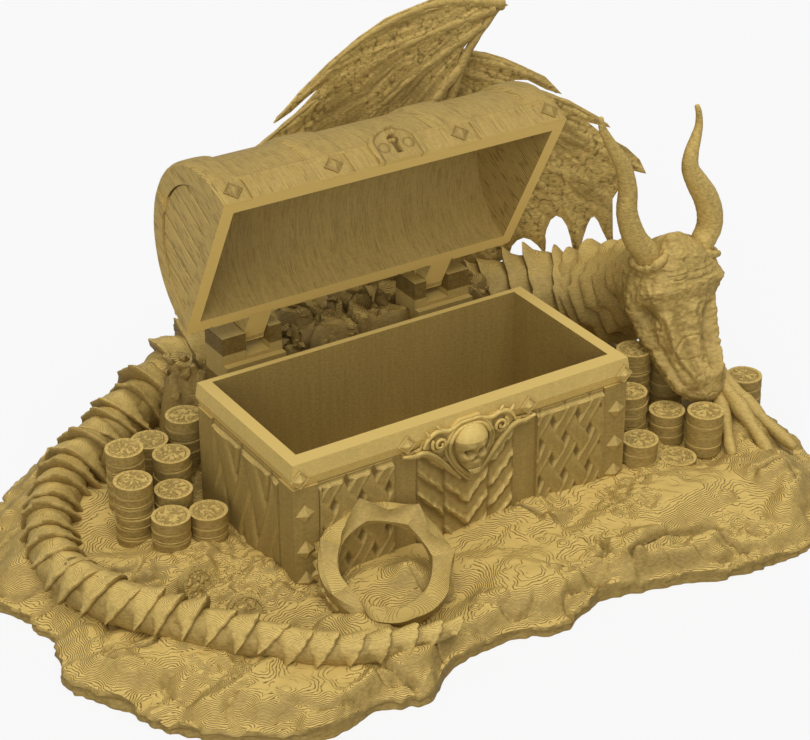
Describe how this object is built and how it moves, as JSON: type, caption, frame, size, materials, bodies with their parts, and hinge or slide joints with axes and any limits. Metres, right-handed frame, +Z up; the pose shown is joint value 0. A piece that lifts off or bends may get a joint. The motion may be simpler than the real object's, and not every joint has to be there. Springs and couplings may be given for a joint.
{
  "type": "dice box with hinged lid",
  "caption": "Treasure-chest dice box with a barrel-vaulted hinged lid, on a rocky base with a fallen dragon, coins and a leaning ring round it.",
  "frame": {"origin": "on the flat underside of the base, below the middle of the chest", "axes": "+X along the chest towards the dragon's head, -Y the chest's front, +Z up"},
  "size_m": [0.2199, 0.1631, 0.1117],
  "materials": {
    "sand_print": "3D-printed matt plastic in one gold tone, with fine layer lines",
    "chest_print": "3D-printed matt plastic in one gold tone, with fine layer lines",
    "lid_print": "3D-printed matt plastic in one gold tone, with fine layer lines",
    "treasure_print": "3D-printed matt plastic in one gold tone, with fine layer lines",
    "dragon_print": "3D-printed matt plastic in one gold tone, with fine layer lines"
  },
  "bodies": {
    "chest_and_base": {"base_terrain": "sand_print", "chest_box": "chest_print", "chest_rim_band": "chest_print", "chest_corner_posts": "chest_print", "chest_front_braids": "chest_print", "chest_back_braids": "chest_print", "chest_scale_panel": "chest_print", "chest_end_straps": "chest_print", "chest_studs": "treasure_print", "crest_skull": "treasure_print", "crest_scrollwork": "treasure_print", "hinge_bracket_left": "chest_print", "hinge_bracket_right": "chest_print", "hinge_pin_left": "treasure_print", "hinge_pin_right": "treasure_print", "rubble_mound": "sand_print", "faceted_ring": "treasure_print", "coin_stack_left_1": "treasure_print", "coin_stack_left_2": "treasure_print", "coin_stack_left_3": "treasure_print", "coin_stack_left_4": "treasure_print", "coin_stack_left_5": "treasure_print", "coin_stack_left_6": "treasure_print", "coin_stack_left_7": "treasure_print", "coin_stack_left_8": "treasure_print", "coin_stack_right_1": "treasure_print", "coin_stack_right_2": "treasure_print", "coin_stack_right_3": "treasure_print", "coin_stack_right_4": "treasure_print", "coin_stack_right_5": "treasure_print", "coin_stack_right_6": "treasure_print", "coin_stack_right_7": "treasure_print", "coin_stack_right_8": "treasure_print", "loose_coins": "treasure_print", "dragon_head": "dragon_print", "dragon_horn_left": "dragon_print", "dragon_horn_right": "dragon_print", "dragon_neck": "dragon_print", "dragon_back_plates": "dragon_print", "dragon_tail": "dragon_print", "dragon_tail_fins": "dragon_print", "dragon_claws": "dragon_print", "wing_left_membrane": "dragon_print", "wing_left_fingers": "dragon_print", "wing_right_membrane": "dragon_print", "wing_right_fingers": "dragon_print"},
    "lid": {"lid_shell": "lid_print", "lid_edge_band": "lid_print", "lid_straps": "lid_print", "lid_end_panels": "lid_print", "lid_lock_plate": "lid_print", "lid_studs": "lid_print", "hinge_arm_left": "lid_print", "hinge_arm_right": "lid_print"}
  },
  "joints": [
    {"name": "lid_hinge", "type": "hinge", "parent": "chest_and_base", "child": "lid", "pos_m": [0, 0.0365, 0.0434], "axis": [-1, 0, 0], "range_deg": [-61.8, 20]}
  ]
}
